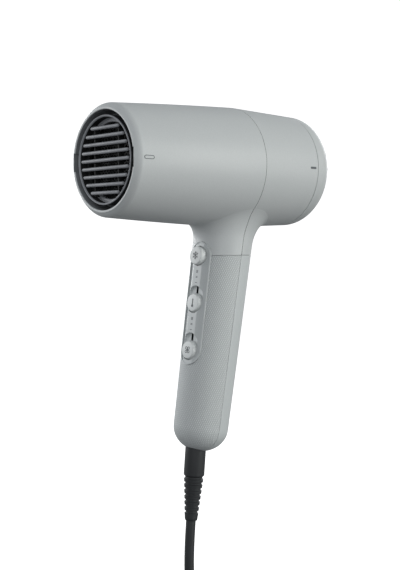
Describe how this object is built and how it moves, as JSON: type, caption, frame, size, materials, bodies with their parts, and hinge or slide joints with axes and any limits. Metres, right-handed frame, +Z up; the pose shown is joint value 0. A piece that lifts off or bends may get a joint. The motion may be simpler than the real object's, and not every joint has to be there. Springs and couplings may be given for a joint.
{
  "type": "hair dryer",
  "caption": "Pistol-shaped mains hair dryer with a round barrel, barred outlet, twist-off intake cap, leaning round handle with a control strip, and a coiled cord.",
  "frame": {"origin": "middle of the hand grip, on the handle axis, where a hand or a stand holds the dryer", "axes": "+Z up, air leaves towards -Y, +X to the right seen from the outlet side"},
  "size_m": [0.1162, 0.1984, 0.389],
  "materials": {
    "housing_plastic": "satin painted ABS, light silver grey",
    "grip_plastic": "matt moulded ABS with fine texture",
    "panel_plastic": "satin moulded ABS",
    "knob_plastic": "satin moulded ABS",
    "mark_ink": "pad-printed grey ink",
    "spring_steel": "drawn spring wire",
    "switch_plastic": "moulded nylon",
    "black_plastic": "moulded glass-filled nylon",
    "grille_plastic": "satin moulded heat-resistant plastic",
    "mesh_steel": "woven stainless mesh",
    "duct_steel": "rolled sheet steel",
    "mica": "pressed mica sheet",
    "heating_wire": "oxidised resistance wire",
    "ceramic": "glazed ceramic",
    "black_rubber": "moulded rubber",
    "motor_steel": "zinc-plated steel",
    "white_plastic": "moulded nylon",
    "brass": "turned sintered bronze",
    "copper": "enamelled copper winding",
    "board_laminate": "solder mask on glass laminate",
    "capacitor_plastic": "cast resin box",
    "lead_insulation": "silicone insulation",
    "screw_steel": "zinc-plated steel",
    "cord_rubber": "black matt PVC",
    "tie_fabric": "woven hook and loop strap",
    "plug_plastic": "black moulded PVC",
    "pin_metal": "nickel-plated brass"
  },
  "bodies": {
    "housing": {"front_shell": "housing_plastic", "rear_shell": "housing_plastic", "grip_front": "grip_plastic", "grip_rear": "grip_plastic", "control_panel": "panel_plastic", "cool_button_spring": "spring_steel", "cool_switch": "switch_plastic", "temperature_switch": "switch_plastic", "speed_switch": "switch_plastic", "level_marks": "mark_ink", "outlet_ring": "black_plastic", "outlet_grille": "grille_plastic", "nozzle_mark": "mark_ink", "shell_mark": "mark_ink", "intake_ring": "black_plastic", "heat_tube": "duct_steel", "mica_sleeve": "mica", "mica_cross": "mica", "heater_coils": "heating_wire", "thermostat": "ceramic", "thermal_fuse": "ceramic", "ion_emitter": "ceramic", "ion_module": "black_plastic", "fan_duct": "black_plastic", "motor_mount": "black_rubber", "motor_can": "motor_steel", "motor_magnets": "black_plastic", "motor_end_cap": "white_plastic", "motor_terminals": "brass", "motor_bearings": "brass", "circuit_board": "board_laminate", "choke": "copper", "suppression_capacitor": "capacitor_plastic", "inner_leads": "lead_insulation", "cord_clamp": "black_plastic", "clamp_screws": "screw_steel", "housing_screws": "screw_steel", "strain_relief": "cord_rubber", "cord_lead": "cord_rubber", "cord_coil": "cord_rubber", "cord_tie": "tie_fabric", "cord_tail": "cord_rubber", "plug_relief": "plug_plastic", "plug_body": "plug_plastic", "plug_pins": "pin_metal"},
    "cool_button": {"cool_button": "knob_plastic", "cool_button_mark": "mark_ink"},
    "temperature_knob": {"temperature_knob": "knob_plastic", "temperature_knob_mark": "mark_ink"},
    "speed_knob": {"speed_knob": "knob_plastic", "speed_knob_mark": "mark_ink"},
    "rotor": {"motor_shaft": "motor_steel", "motor_armature": "copper", "impeller": "black_plastic"},
    "filter_cap": {"filter_cap": "housing_plastic", "cap_marks": "mark_ink", "filter_mesh": "mesh_steel"}
  },
  "joints": [
    {"name": "cool_button_press", "type": "slide", "parent": "housing", "child": "cool_button", "axis": [0, 0.9897, -0.1431], "range_m": [0, 0.002], "stiffness_N_per_m": 600, "springref_m": -0.002, "deforming": ["cool_button_spring"]},
    {"name": "temperature_slide", "type": "slide", "parent": "housing", "child": "temperature_knob", "axis": [0, 0.1431, 0.9897], "range_m": [0, 0.005]},
    {"name": "speed_slide", "type": "slide", "parent": "housing", "child": "speed_knob", "axis": [0, 0.1431, 0.9897], "range_m": [0, 0.005]},
    {"name": "fan_spin", "type": "hinge", "parent": "housing", "child": "rotor", "pos_m": [0, 0.03, 0.1], "axis": [0, 1, 0], "continuous": true},
    {"name": "cap_twist", "type": "hinge", "parent": "housing", "child": "filter_cap", "pos_m": [0, 0.06, 0.1], "axis": [0, 1, 0], "range_deg": [0, 18]}
  ]
}
